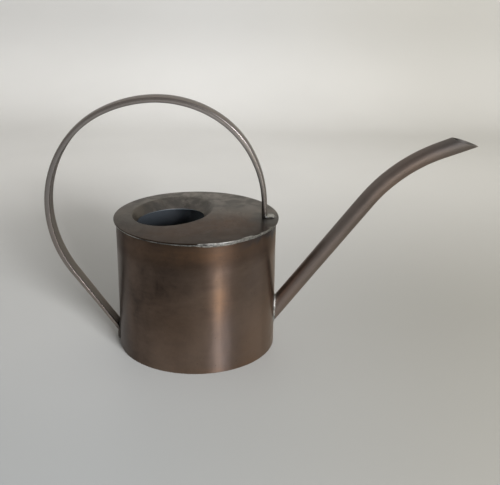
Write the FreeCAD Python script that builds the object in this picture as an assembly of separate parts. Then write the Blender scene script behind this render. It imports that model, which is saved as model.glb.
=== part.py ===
import FreeCAD, Part
import math
import os

# Indoor watering can of soldered sheet copper. Millimetres.
# Origin: centre of the base on the floor. +Z up, +X towards the spout; the spout and the
# handle lie in the plane Y = 0.

V = FreeCAD.Vector

# ---------------------------------------------------------------- driving dimensions
SHEET = 0.8                  # copper sheet thickness
R_WALL = 63.0                # outer radius of the cylindrical wall
R_COVER = 65.0               # radius of the top cover, which overhangs the wall
H_COVER = 106.7              # height of the cover's top face
FLANGE_OUT = 1.7             # out-turned flange at the top of the wall
BASE_T = 1.0                 # base disc thickness
SEAM_GAP = 0.3               # gap of the butted wall seam, filled with solder
SEAM_BEAD_W = 3.0            # width of the solder bead inside the seam
SEAM_BEAD_T = 0.4

# filler opening: outer bend line and lower edge of the turned-down lip (ellipses)
OPEN_OUT = dict(cx=-19.67, cy=12.17, a=30.46, b=39.92, rot=-25.67)
OPEN_IN = dict(cx=-21.28, cy=12.24, a=22.71, b=29.00, rot=-46.35)
OPEN_DEPTH = 7.0
# lip profile: (share of the way from the bend line to the lower edge, share of the depth)
LIP = [(0.0, 0.0), (0.10, 0.045), (0.25, 0.17), (0.50, 0.44), (0.75, 0.71), (0.92, 0.90), (1.0, 1.0)]

# spout
SPOUT_R = 6.7                # outer radius of the tube
SPOUT_T = 0.8                # tube wall
SPOUT_DIR = (0.6, 0.0, 0.8)  # direction of the straight lower run
SPOUT_P0 = (69.7, 0.0, 36.4) # a point on the axis of the lower run
SPOUT_BEND_Z = 121.3         # height on the axis where the bend starts
SPOUT_BEND_R = 124.0         # bend radius of the axis
SPOUT_END_DEG = 21.0         # slope of the upper run
SPOUT_UPPER = 30.0           # length of the upper run before the slanted cut
SPOUT_CUT_TOP = (197.1, 171.8)    # slanted cut at the tip: upper and lower point, X and Z
SPOUT_CUT_LOW = (216.0, 166.1)
SPOUT_IN_R = 60.7            # the tube ends this far from the can's axis, just inside the wall
SPOUT_SOLDER_W = 1.7
SPOUT_SOLDER_T = 1.3

# handle: one flattened tube, slightly arched outside and slightly hollow towards the can
HANDLE_W = 13.0              # width across Y
HANDLE_D = 4.75              # depth in the plane of the bend
HANDLE_D_REAR = 3.4          # depth where it reaches the wall
HANDLE_D_FRONT = 4.2         # depth at the front foot
HANDLE_T = 1.0               # wall of the flattened tube
HANDLE_ARCH = 0.28           # arch of the outer face
HANDLE_DIP = 0.30            # hollow of the inner face
HANDLE_START = (53.5, 107.7) # centre of the strap above the front foot, X and Z
HANDLE_START_DEG = 90.92
# radius and length of each tangent arc from the front foot over the top to the rear leg
HANDLE_ARCS = [(0, 9.64), (88.86, 42.75), (75.96, 43.68), (84.98, 46.64), (97.11, 41.44),
               (77.33, 37.88), (88.33, 50.32), (94.12, 61.75), (0, 43.6)]
TAB_T = 1.8                  # thickness of the flattened foot that lies on the wall
TAB_W = 13.0
TAB_Z0 = 1.0                 # lower end of that foot
FOOT_X0, FOOT_X1 = 51.3, 61.2  # front foot, which lies on the cover
FOOT_W = 9.4
FOOT_T = 1.1

os.makedirs("parts", exist_ok=True)


def out(shape, name):
    shape = shape.removeSplitter() if hasattr(shape, "removeSplitter") else shape
    solids = shape.Solids
    shape = solids[0] if len(solids) == 1 else Part.makeCompound(solids)
    print("%-22s solids %d valid %s volume %.1f faces %d" % (name, len(solids), shape.isValid(), shape.Volume, len(shape.Faces)))
    shape.exportStep("parts/%s.step" % name)
    return shape


def revolve(points):
    """Turns a closed (r, z) outline about the can's axis. An item is (r, z), or a pair of points for an arc."""
    edges = []
    last = V(points[0][0], 0, points[0][1])
    first = last
    for p in points[1:]:
        if isinstance(p[0], tuple):
            mid, end = V(p[0][0], 0, p[0][1]), V(p[1][0], 0, p[1][1])
            edges.append(Part.Arc(last, mid, end).toShape())
            last = end
        else:
            end = V(p[0], 0, p[1])
            edges.append(Part.LineSegment(last, end).toShape())
            last = end
    edges.append(Part.LineSegment(last, first).toShape())
    face = Part.Face(Part.Wire(edges))
    return face.revolve(V(0, 0, 0), V(0, 0, 1), 360)


def arc45(cx, cz, r, deg0, deg1):
    """Mid and end point of an arc about (cx, cz)."""
    m = math.radians((deg0 + deg1) / 2)
    e = math.radians(deg1)
    return ((cx + r * math.cos(m), cz + r * math.sin(m)), (cx + r * math.cos(e), cz + r * math.sin(e)))


# ---------------------------------------------------------------- spout path and cutters
D = V(*SPOUT_DIR)
P0 = V(*SPOUT_P0)
start = P0 - D * ((P0.z - 8.0) / D.z)
bend = P0 + D * ((SPOUT_BEND_Z - P0.z) / D.z)
a0 = math.atan2(D.z, D.x)
a1 = math.radians(SPOUT_END_DEG)
n = V(D.z, 0, -D.x)                         # towards the bend's centre
centre = bend + n * SPOUT_BEND_R
def on_bend(a):
    return centre + V(-math.sin(a), 0, math.cos(a)) * SPOUT_BEND_R
upper = on_bend(a1)
U = V(math.cos(a1), 0, math.sin(a1))
tip = upper + U * SPOUT_UPPER
spine = Part.Wire([Part.LineSegment(start, bend).toShape(),
                   Part.Arc(bend, on_bend((a0 + a1) / 2), upper).toShape(),
                   Part.LineSegment(upper, tip).toShape()])


def sweep_round(r):
    ring = Part.Wire([Part.Circle(start, D, r).toShape()])
    return spine.makePipeShell([ring], True, False)


tube_out = sweep_round(SPOUT_R)
tube_in = sweep_round(SPOUT_R - SPOUT_T)
spout_rod = Part.makeCylinder(SPOUT_R, 60, start, D)      # the tube's outside near the wall

# ---------------------------------------------------------------- body wall
ri = R_WALL - SHEET
zt = H_COVER - SHEET                         # top of the flange, under the cover
rf = R_WALL + FLANGE_OUT
wall = revolve([
    (ri, 0.0), (R_WALL - 0.5, 0.0), arc45(R_WALL - 0.5, 0.5, 0.5, -90, 0),
    (R_WALL, zt - SHEET - 0.5), arc45(R_WALL + 0.5, zt - SHEET - 0.5, 0.5, 180, 90),
    (rf, zt - SHEET), (rf, zt), (ri + 1.3, zt), arc45(ri + 1.3, zt - 1.3, 1.3, 90, 180)])
slit = Part.makeBox(6, SEAM_GAP, H_COVER + 2, V(-R_WALL - 4, -SEAM_GAP / 2, -1))
wall = wall.cut(slit).cut(spout_rod)
out(wall, "body_wall")

# ---------------------------------------------------------------- wall seam solder
bead = Part.makeCylinder(ri, zt - 12, V(0, 0, 6)).cut(Part.makeCylinder(ri - SEAM_BEAD_T, zt, V(0, 0, 0)))
bead = bead.common(Part.makeBox(8, SEAM_BEAD_W, zt, V(-R_WALL - 2, -SEAM_BEAD_W / 2, 0)))
fill = Part.makeCylinder(R_WALL, zt - SHEET - 1.5, V(0, 0, 0.6)).cut(Part.makeCylinder(ri - 0.05, zt, V(0, 0, 0)))
fill = fill.common(Part.makeBox(6, SEAM_GAP, zt, V(-R_WALL - 4, -SEAM_GAP / 2, 0)))
base_keep = Part.makeCylinder(ri, BASE_T, V(0, 0, 0))
fillet_ring = revolve([(ri, BASE_T), (ri, BASE_T + 1.6), (ri - 1.6, BASE_T)])
seam = bead.fuse(fill).cut(base_keep).cut(fillet_ring)
out(seam, "wall_seam_solder")

# ---------------------------------------------------------------- base
base = Part.makeCylinder(ri, BASE_T, V(0, 0, 0))
out(base, "base_plate")
out(fillet_ring, "base_solder")

# ---------------------------------------------------------------- top cover with its dished filler opening
def ellipse_point(e, k):
    """Point k radians round the ellipse as seen from its centre, so that two ellipses match by direction."""
    rot = math.radians(e["rot"])
    d = k - rot
    r = e["a"] * e["b"] / math.hypot(e["b"] * math.cos(d), e["a"] * math.sin(d))
    return e["cx"] + r * math.cos(k), e["cy"] + r * math.sin(k)


NRAY = 24
def ring(share, z, grow=0.0):
    """Closed smooth wire a share of the way from the bend line to the lower edge."""
    pts = []
    for i in range(NRAY):
        k = 2 * math.pi * i / NRAY
        xo, yo = ellipse_point(OPEN_OUT, k)
        xi, yi = ellipse_point(OPEN_IN, k)
        x, y = xo + (xi - xo) * share, yo + (yi - yo) * share
        pts.append(V(x + grow * math.cos(k), y + grow * math.sin(k), z))
    curve = Part.BSplineCurve()
    curve.interpolate(Points=pts, PeriodicFlag=True)
    return Part.Wire([curve.toShape()])


def funnel(grow, drop, top, tail):
    """Solid bounded by the lip's surface; grow and drop offset it for the sheet's under side."""
    rings = [ring(0.0, top, grow)]
    for share, deep in LIP:
        rings.append(ring(share, H_COVER - OPEN_DEPTH * deep - drop, grow))
    if tail:
        rings.append(ring(1.0, H_COVER - OPEN_DEPTH - tail, grow))
    return Part.makeLoft(rings, True, True)


cavity = funnel(0.0, 0.0, H_COVER + 2.0, 3.0)
skin = funnel(0.62, 0.5, H_COVER - 0.3, 0.0)
c = 0.25                                     # eased upper edge of the disc
disc = revolve([(0, zt), (R_COVER, zt), (R_COVER, H_COVER - c), (R_COVER - c, H_COVER), (0, H_COVER)])
cover = disc.fuse(skin).cut(cavity)
below = Part.makeBox(200, 200, 20, V(-100, -100, H_COVER - OPEN_DEPTH - 20))
cover = cover.cut(below)
out(cover, "top_cover")

# solder bead in the corner under the overhang of cover and flange
zb = zt - SHEET
rim = revolve([(R_WALL + 0.5, zb), arc45(R_WALL + 0.5, zb - 0.5, 0.5, 90, 180), (R_WALL, zb - 1.0),
               (R_WALL + 0.35, zb - 0.95), (R_WALL + 1.2, zb - 0.35), (R_WALL + 1.35, zb)])
out(rim.cut(slit), "rim_solder")

# ---------------------------------------------------------------- spout
tube = tube_out.cut(tube_in)
tube = tube.cut(Part.makeCylinder(SPOUT_IN_R, 200, V(0, 0, -20)))
tx, tz = SPOUT_CUT_TOP
lx, lz = SPOUT_CUT_LOW
dx, dz = lx - tx, lz - tz
k = math.hypot(dx, dz)
dx, dz = dx / k, dz / k
far = 60.0
wedge = Part.Face(Part.makePolygon([
    V(tx - dx * far, -40, tz - dz * far), V(lx + dx * far, -40, lz + dz * far),
    V(lx + dx * far - dz * far, -40, lz + dz * far + dx * far), V(tx - dx * far - dz * far, -40, tz - dz * far + dx * far),
    V(tx - dx * far, -40, tz - dz * far)])).extrude(V(0, 80, 0))
wedge = wedge.cut(Part.makeBox(150, 100, 200, V(20, -50, 0)))   # keep the cut away from the lower run
tube = tube.cut(wedge)
out(tube, "spout_tube")

collar = Part.makeCylinder(SPOUT_R + SPOUT_SOLDER_W, 60, start, D)
collar = collar.common(Part.makeCylinder(R_WALL + SPOUT_SOLDER_T, 90, V(0, 0, 2)))
collar = collar.cut(Part.makeCylinder(R_WALL, 120, V(0, 0, -5))).cut(spout_rod)
out(collar, "spout_solder")

# ---------------------------------------------------------------- handle
def handle_point(s):
    """Centre of the strap, its direction and its outward normal at arc length s."""
    x, z = HANDLE_START
    th = math.radians(HANDLE_START_DEG)
    if s < 0:
        return x + s * math.cos(th), z + s * math.sin(th), th
    for r, length in HANDLE_ARCS:
        step = min(s, length)
        if r:
            t2 = th + step / r
            x += r * (math.sin(t2) - math.sin(th))
            z += r * (math.cos(th) - math.cos(t2))
            th = t2
        else:
            x += step * math.cos(th)
            z += step * math.sin(th)
        s -= step
        if s <= 1e-9:
            break
    return x, z, th


HANDLE_LEN = sum(length for r, length in HANDLE_ARCS)


def strap_section(s, shrink=0.0):
    """Outline of the flattened tube at arc length s, or its inside outline shrink mm within."""
    x, z, th = handle_point(s)
    f = min(1.0, max(0.0, (s - 4) / 66.0))
    f = f * f * (3 - 2 * f)                  # narrows towards the front foot
    g = min(1.0, max(0.0, (s - 20) / 50.0))
    r = min(1.0, max(0.0, (s - 300) / (HANDLE_LEN - 300)))
    r = r * r * (3 - 2 * r)
    w = FOOT_W + (HANDLE_W - FOOT_W) * f - 2 * shrink
    d = HANDLE_D_FRONT + (HANDLE_D - HANDLE_D_FRONT) * g + (HANDLE_D_REAR - HANDLE_D) * r - 2 * shrink
    ro, ri = (1.4, 0.9) if not shrink else (0.5, 0.4)
    o = V(math.sin(th), 0, -math.cos(th))    # outward normal: the arch turns to the left of its path
    def at(u, v):
        return V(x, 0, z) + V(0, u, 0) + o * v
    def line(u0, v0, u1, v1):
        return Part.LineSegment(at(u0, v0), at(u1, v1)).toShape()
    def arc(u0, v0, um, vm, u1, v1):
        return Part.Arc(at(u0, v0), at(um, vm), at(u1, v1)).toShape()
    q = math.sqrt(0.5)
    h, t, b = w / 2, d / 2 - HANDLE_ARCH, -d / 2
    return Part.Wire([
        line(-h, b + ri, -h, t - ro),
        arc(-h, t - ro, -h + ro - ro * q, t - ro + ro * q, -h + ro, t),
        arc(-h + ro, t, 0, t + HANDLE_ARCH, h - ro, t),
        arc(h - ro, t, h - ro + ro * q, t - ro + ro * q, h, t - ro),
        line(h, t - ro, h, b + ri),
        arc(h, b + ri, h - ri + ri * q, b + ri - ri * q, h - ri, b),
        arc(h - ri, b, 0, b + HANDLE_DIP, -h + ri, b),
        arc(-h + ri, b, -h + ri - ri * q, b + ri - ri * q, -h, b + ri)]), d


count = 44
strap = Part.makeLoft([strap_section(HANDLE_LEN * i / count)[0] for i in range(count + 1)], True, False)
print("strap", strap.isValid(), strap.Volume, HANDLE_LEN)
bore = Part.makeLoft([strap_section(-3.0 + (HANDLE_LEN - 4.0 + 3.0) * i / count, HANDLE_T)[0] for i in range(count + 1)], True, False)
print("strap bore", bore.isValid(), bore.Volume)

# front foot: the strap's end turned outwards and laid on the cover
foot = Part.makeBox(FOOT_X1 - FOOT_X0, FOOT_W, FOOT_T, V(FOOT_X0, -FOOT_W / 2, H_COVER))
foot = foot.makeFillet(0.4, [e for e in foot.Edges if e.BoundBox.ZMin > H_COVER + FOOT_T - 0.01])

# rear foot: the strap's end turned down, flattened and laid on the wall
ex, ez, eth = handle_point(HANDLE_LEN)
on = V(math.sin(eth), 0, -math.cos(eth))
et = V(math.cos(eth), 0, math.sin(eth))
p_out = V(ex, 0, ez) + on * (HANDLE_D_REAR / 2 - HANDLE_ARCH)
p_in = V(ex, 0, ez) - on * (HANDLE_D_REAR / 2)
xo = -R_WALL - TAB_T
xw = -R_WALL
def meet(p, xt):
    q = (xt - p.x) / et.x
    return p + et * q
m_out = meet(p_out, xo)
m_in = meet(p_in, xw)
poly = [p_out, m_out, V(xo, 0, TAB_Z0 + 0.5), V(xo + 0.5, 0, TAB_Z0), V(xw, 0, TAB_Z0), m_in, p_in]
poly = [V(p.x, -TAB_W / 2, p.z) for p in poly]
tab = Part.Face(Part.makePolygon(poly + [poly[0]])).extrude(V(0, TAB_W, 0))
print("rear foot: outer corner", m_out, "inner corner", m_in, "strap end", ex, ez)
strap = strap.fuse(foot).fuse(tab).cut(bore)
strap = strap.cut(Part.makeCylinder(R_COVER + 5, H_COVER - zt + 3, V(0, 0, H_COVER - (H_COVER - zt + 3))))
out(strap, "handle_strap")

# solder round the front foot, on the cover
def oval(cx, a, b, z):
    e = Part.Ellipse(V(cx, 0, z), max(a, b), min(a, b))
    shape = e.toShape()
    if b > a:
        shape.rotate(V(cx, 0, z), V(0, 0, 1), 90)
    return Part.Wire([shape])
mound = Part.makeLoft([oval(57.4, 6.0, 6.2, H_COVER), oval(57.3, 5.5, 5.7, H_COVER + 0.35), oval(57.2, 4.9, 5.2, H_COVER + 0.6)], True, True)
mound = mound.common(Part.makeCylinder(R_COVER - 0.6, 5, V(0, 0, H_COVER)))
out(mound.cut(strap), "front_foot_solder")

# solder behind and beside the rear foot, on the wall
pad = Part.Face(Part.makePolygon([V(x, y, 1.6) for x, y in [
    (-61.0, -7.9), (-62.55, -7.9), (-63.9, -6.2), (-63.9, 6.2), (-62.55, 7.9), (-61.0, 7.9), (-61.0, -7.9)]])).extrude(V(0, 0, 14.6))
pad = pad.cut(Part.makeCylinder(R_WALL, 60, V(0, 0, -2))).cut(strap)
out(pad, "rear_foot_solder")
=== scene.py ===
import bpy
import bmesh
import math
import numpy as np
from mathutils import Matrix, Vector, noise


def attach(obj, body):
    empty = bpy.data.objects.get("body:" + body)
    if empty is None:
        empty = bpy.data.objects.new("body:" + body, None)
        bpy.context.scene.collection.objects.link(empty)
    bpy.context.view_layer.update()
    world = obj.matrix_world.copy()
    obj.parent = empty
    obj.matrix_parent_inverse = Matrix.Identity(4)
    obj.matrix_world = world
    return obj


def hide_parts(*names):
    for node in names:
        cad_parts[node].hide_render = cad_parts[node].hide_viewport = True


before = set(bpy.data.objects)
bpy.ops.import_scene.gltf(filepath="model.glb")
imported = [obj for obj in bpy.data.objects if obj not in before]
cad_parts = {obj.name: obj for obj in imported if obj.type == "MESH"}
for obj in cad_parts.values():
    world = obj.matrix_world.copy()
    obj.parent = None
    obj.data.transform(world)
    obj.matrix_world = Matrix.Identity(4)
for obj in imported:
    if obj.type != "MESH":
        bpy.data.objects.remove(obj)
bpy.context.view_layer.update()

MM = 0.001
scene = bpy.context.scene

# ------------------------------------------------------------------ dimensions, mm, as in the CAD frame
SHEET = 0.8
R_WALL = 63.0
R_COVER = 65.0
H = 106.7
ZT = H - SHEET
FLANGE = 1.7
OPEN_OUT = dict(cx=-19.67, cy=12.17, a=30.46, b=39.92, rot=-25.67)
OPEN_IN = dict(cx=-21.28, cy=12.24, a=22.71, b=29.00, rot=-46.35)
DEPTH = 7.0
SP_R, SP_T = 6.7, 0.8
SP_D = np.array([0.6, 0.0, 0.8])
SP_P0 = np.array([69.7, 0.0, 36.4])
SP_BEND_Z = 121.3
SP_BEND_R = 124.0
SP_A1 = math.radians(21.0)
CUT_TOP = (197.1, 171.8)
CUT_LOW = (216.0, 166.1)
ARCS = [(0, 9.64), (88.86, 42.75), (75.96, 43.68), (84.98, 46.64), (97.11, 41.44),
        (77.33, 37.88), (88.33, 50.32), (94.12, 61.75), (0, 60.0)]
H_START = (53.5, 107.7)
H_DEG = 90.92
H_W, H_D, H_D_REAR = 13.0, 4.75, 3.4
FOOT_W, FOOT_D = 9.4, 4.2


# ------------------------------------------------------------------ small tools
def smooth(t):
    t = np.clip(t, 0.0, 1.0)
    return t * t * (3 - 2 * t)


def pn(x, y, z, s=1.0, seed=0.0):
    """Smooth repeatable noise, about -1 to 1, of a point in mm with features about s mm wide."""
    return noise.noise(Vector((x / s + seed * 17.31, y / s - seed * 5.77, z / s + seed * 9.13)))


def wrap(d):
    return (d + 180.0) % 360.0 - 180.0


def gauss(x, c, w):
    return math.exp(-0.5 * ((x - c) / w) ** 2)


def mesh_object(name, verts, faces, attrs=None, smooth_deg=40.0):
    """A mesh object from points in mm, with per-point float attributes and shading split at sharp edges."""
    me = bpy.data.meshes.new(name)
    me.from_pydata([tuple(v) for v in (np.asarray(verts, float) * MM)], [], faces)
    me.validate()
    bm = bmesh.new()
    bm.from_mesh(me)
    bmesh.ops.recalc_face_normals(bm, faces=bm.faces)
    for e in bm.edges:
        if len(e.link_faces) == 2:
            e.smooth = e.calc_face_angle(0.0) < math.radians(smooth_deg)
    for f in bm.faces:
        f.smooth = True
    bm.to_mesh(me)
    bm.free()
    for key, values in (attrs or {}).items():
        a = me.attributes.new(key, "FLOAT", "POINT")
        a.data.foreach_set("value", np.asarray(values, np.float32))
    me.update()
    o = bpy.data.objects.new(name, me)
    scene.collection.objects.link(o)
    return o


def lattice(rings, closed_ring=True, loop=False):
    """Quads between successive rings of equal length. loop joins the last ring to the first."""
    n = len(rings[0])
    verts = np.concatenate([np.asarray(r, float) for r in rings])
    faces = []
    m = len(rings)
    for i in range(m if loop else m - 1):
        a, b = i * n, ((i + 1) % m) * n
        for j in range(n if closed_ring else n - 1):
            k = (j + 1) % n
            faces.append((a + j, a + k, b + k, b + j))
    return verts, faces


def outward(o):
    """Turns every face outwards on a closed mesh."""
    bm = bmesh.new()
    bm.from_mesh(o.data)
    bmesh.ops.recalc_face_normals(bm, faces=bm.faces)
    if bm.calc_volume(signed=True) < 0:
        bmesh.ops.reverse_faces(bm, faces=bm.faces)
    bm.to_mesh(o.data)
    bm.free()
    return o


def arc_pts(cx, cz, r, d0, d1, n):
    return [(cx + r * math.cos(math.radians(d0 + (d1 - d0) * i / n)), cz + r * math.sin(math.radians(d0 + (d1 - d0) * i / n)))
            for i in range(n + 1)]


def line_pts(a, b, n):
    """n points after a, up to b."""
    return [(a[0] + (b[0] - a[0]) * i / n, a[1] + (b[1] - a[1]) * i / n) for i in range(1, n + 1)]


# ------------------------------------------------------------------ body wall: an open rolled sheet with its seam at the back
def wall_dent(deg, z):
    """Outward offset of the hand-worked sheet, in mm. deg is measured from +X."""
    x, y = R_WALL * math.cos(math.radians(deg)), R_WALL * math.sin(math.radians(deg))
    d = 0.16 * pn(x, y, z, 34, 1) + 0.06 * pn(x, y, z, 13, 2) + 0.018 * pn(x, y, z * 0.6, 5, 3)
    ease = min(1.0, z / 8.0) * min(1.0, (ZT - 3.0 - z) / 8.0 if z < ZT - 3.0 else 0.0)
    # calm near the spout joint, where the solder holds the sheet
    near = 1.0 - 0.85 * gauss(wrap(deg), 0, 14) * gauss(z, 28, 18)
    return d * max(0.0, ease) * near


def build_wall():
    ri, ro = R_WALL - SHEET, R_WALL
    outer = [(ro - 0.5, 0.0)] + arc_pts(ro - 0.5, 0.5, 0.5, -90, 0, 4)[1:]
    outer += line_pts((ro, 0.5), (ro, ZT - SHEET - 0.6), 96)
    outer += arc_pts(ro + 0.6, ZT - SHEET - 0.6, 0.6, 180, 90, 4)[1:]
    outer += line_pts(outer[-1], (ro + FLANGE - 0.2, ZT - SHEET), 2)
    outer += arc_pts(ro + FLANGE - 0.2, ZT - SHEET + 0.2, 0.2, -90, 0, 3)[1:]
    outer += line_pts(outer[-1], (ro + FLANGE, ZT - 0.15), 1)
    outer += arc_pts(ro + FLANGE - 0.15, ZT - 0.15, 0.15, 0, 90, 2)[1:]
    outer += line_pts(outer[-1], (ri + 1.4, ZT - 0.01), 2)
    outer += arc_pts(ri + 1.4, ZT - 1.41, 1.4, 90, 180, 5)[1:]
    inner = line_pts((ri, ZT - 1.41), (ri, 0.3), 60)
    inner += [(ri + 0.1, 0.06), (ri + 0.3, 0.0)]
    prof = outer + inner
    NA = 360
    gap = math.degrees(0.16 / R_WALL)
    degs = np.linspace(-180 + gap, 180 - gap, NA + 1)
    verts, faces, ang, hz = [], [], [], []
    for deg in degs:
        c, s = math.cos(math.radians(deg)), math.sin(math.radians(deg))
        for r, z in prof:
            rr = r + wall_dent(deg, z)
            verts.append((rr * c, rr * s, z))
            ang.append(deg)
            hz.append(z)
    n = len(prof)
    for i in range(NA):
        for j in range(n):
            k = (j + 1) % n
            faces.append((i * n + j, i * n + k, (i + 1) * n + k, (i + 1) * n + j))
    faces.append(tuple(range(n)))
    faces.append(tuple(reversed(range(NA * n, NA * n + n))))
    me = bpy.data.meshes.new("wall_sheet")
    me.from_pydata([tuple(v) for v in np.array(verts) * MM], [], faces)
    o = bpy.data.objects.new("wall_sheet", me)
    scene.collection.objects.link(o)
    outward(o)
    # hole for the spout
    bm = bmesh.new()
    bmesh.ops.create_cone(bm, cap_ends=True, segments=96, radius1=(SP_R + 0.06) * MM, radius2=(SP_R + 0.06) * MM, depth=40 * MM)
    cut = bpy.data.meshes.new("cutter")
    bm.to_mesh(cut)
    bm.free()
    co = bpy.data.objects.new("cutter", cut)
    scene.collection.objects.link(co)
    z = Vector(SP_D)
    x = Vector((0.8, 0, -0.6))
    y = z.cross(x)
    mid = (SP_P0 - SP_D * 12) * MM
    M = Matrix((x, y, z)).transposed().to_4x4()
    M.translation = Vector(mid)
    co.matrix_world = M
    mod = o.modifiers.new("hole", "BOOLEAN")
    mod.operation = "DIFFERENCE"
    mod.object = co
    mod.solver = "EXACT"
    bpy.context.view_layer.update()
    dg = bpy.context.evaluated_depsgraph_get()
    new = bpy.data.meshes.new_from_object(o.evaluated_get(dg))
    o.modifiers.clear()
    o.data = new
    bpy.data.objects.remove(co)
    bm = bmesh.new()
    bm.from_mesh(new)
    big = [f for f in bm.faces if len(f.verts) > 4]
    bmesh.ops.triangulate(bm, faces=big)
    for e in bm.edges:
        if len(e.link_faces) == 2:
            e.smooth = e.calc_face_angle(0.0) < math.radians(38)
    for f in bm.faces:
        f.smooth = True
    bm.to_mesh(new)
    bm.free()
    return o


def paint_wall(o):
    """Patina: where the sheet is warmer, darker, greyer, and where solder has run; with painted light too: a warm tint
    and a grey band where the upright glint falls, and painted shade on the inside.
    """
    me = o.data
    co = np.empty(len(me.vertices) * 3)
    me.vertices.foreach_get("co", co)
    co = co.reshape(-1, 3) / MM
    warm, dark, grey, tin, inside, tone, dull, deep = (np.zeros(len(co)) for _ in range(8))
    for i, (x, y, z) in enumerate(co):
        r = math.hypot(x, y)
        # degrees round the can from the -Y side, positive towards the spout
        a = math.degrees(math.atan2(x, -y))
        w = 0.85 * gauss(a, 8, 30) * gauss(z, 97, 6)
        w += 0.35 * gauss(a, 66, 9) * gauss(z, 42, 30)
        # painted highlight: a warm tint laid on the wall where the upright window glint falls
        w += 0.8 * gauss(a, 20, 5) * gauss(z, 58, 15)
        w += 0.6 * gauss(a, 26, 20) * gauss(z, 0, 4)
        w += 0.25 * gauss(a, -10, 16) * gauss(z, 40, 22)
        w += 0.3 * gauss(a, 40, 10) * gauss(z, 14, 12)
        w += 0.4 * gauss(wrap(a - 150), 0, 35) * gauss(z, 70, 22) + 0.4 * gauss(wrap(a + 140), 0, 30) * gauss(z, 30, 25)
        d = 0.0
        g = 0.7 * smooth((-46 - a) / 26) * (0.5 + 0.5 * smooth((a + 140) / 40)) * smooth((a + 180) / 30)
        # painted reflection: a grey band laid below the glint, where the window's broad reflection runs down the wall
        g += 0.35 * gauss(a, 24, 9) * smooth((62 - z) / 30)
        g += 0.3 * gauss(a, 50, 14) * gauss(z, 74, 18)
        t = 0.0
        edge = ZT - z
        # solder smeared under the rim on the spout side
        run = 6.5 + 4.0 * pn(x, y, 0, 11, 4) + 2.5 * pn(x, y, 0, 4, 5)
        side = smooth((a - 26) / 26) * smooth((128 - a) / 30)
        if r > R_WALL - 0.3:
            t = max(t, 0.44 * side * smooth((run * 0.7 - edge) / 3.5))
            g = max(g, 0.95 * side * smooth((run * 1.3 - edge) / 5.0))
            t = max(t, 0.9 * smooth((1.7 + 0.9 * pn(x, y, 0, 7, 6) - edge) / 1.0))
            # beside the spout joint and the rear foot
            ds = math.hypot(wrap(a - 90) * 1.1, (z - 28) * 0.62)
            t = max(t, smooth((12.5 + 2.0 * pn(x, y, z, 5, 7) - ds) / 4.0) * 0.9)
            dr = math.hypot(max(0.0, abs(y) - 6.0) * 1.0 + (100 if x > 0 else 0), max(0.0, z - 15) * 1.0)
            t = max(t, smooth((2.6 + 1.5 * pn(x, y, z, 5, 8) - dr) / 1.6) * 0.85)
            # thin line along the seam at the back
            if x < 0:
                t = max(t, 0.8 * smooth((1.1 + 0.5 * pn(0, y, z, 4, 9) - abs(y)) / 0.7))
        else:
            ring = smooth((3.5 + 1.2 * pn(x, y, 0, 5, 10) - z) / 1.5)
            t = max(t, ring)
            inside[i] = 1.0
        warm[i], dark[i], grey[i], tin[i] = w, d, g, t
        tone[i] = 0.42 - 0.19 * gauss(a, -18, 21) * gauss(z, 58, 26) + 0.48 * gauss(z, 0, 30) * smooth((a + 46) / 26) * smooth((178 - a) / 60) + 0.33 * smooth((a - 14) / 20) * smooth((176 - a) / 70)
        tone[i] += 0.22 * gauss(a, 6, 8) * gauss(z, 50, 40) + 0.16 * gauss(a, -14, 22) * gauss(z, 97, 8) - 0.12 * gauss(a, -46, 12) * gauss(z, 30, 30)
        # painted shade: the inner wall darkens towards the back left, where the inside of the can is in shadow
        deep[i] = inside[i] * smooth((6 - x) / 22) * smooth((y - 5) / 20)
        dull[i] = 0.92 * smooth((z - 79) / 14)
    for key, v in dict(warm=warm, dark=dark, grey=grey, tin=tin, inside=inside, tone=tone, dull=dull, deep=deep).items():
        at = me.attributes.new(key, "FLOAT", "POINT")
        at.data.foreach_set("value", np.clip(v, 0, 1).astype(np.float32))


# ------------------------------------------------------------------ top cover
def oval_point(e, k):
    rot = math.radians(e["rot"])
    d = k - rot
    r = e["a"] * e["b"] / math.hypot(e["b"] * math.cos(d), e["a"] * math.sin(d))
    return np.array([e["cx"] + r * math.cos(k), e["cy"] + r * math.sin(k)])


LIP = [(0.0, 0.0), (0.05, 0.012), (0.10, 0.045), (0.16, 0.095), (0.25, 0.17), (0.36, 0.285), (0.50, 0.44), (0.62, 0.565),
       (0.75, 0.71), (0.85, 0.815), (0.92, 0.90), (0.97, 0.955), (1.0, 1.0)]


def cover_sag(x, y, gap):
    """The flat of the cover isn't quite flat. gap is the distance to the bend line, mm."""
    r = math.hypot(x, y)
    free = smooth((60.5 - r) / 14.0)
    foot = 1 - gauss(math.hypot(x - 57, y), 0, 9)
    wave = 0.16 * pn(x, y, 0, 24, 11) + 0.07 * pn(x, y, 0, 10, 12) + 0.02 * pn(x, y, 0, 4.5, 13)
    pull = -0.22 * math.exp(-max(gap, 0) / 2.6)
    return float((wave * foot) * free + pull * smooth((62.5 - r) / 4.0))


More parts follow.
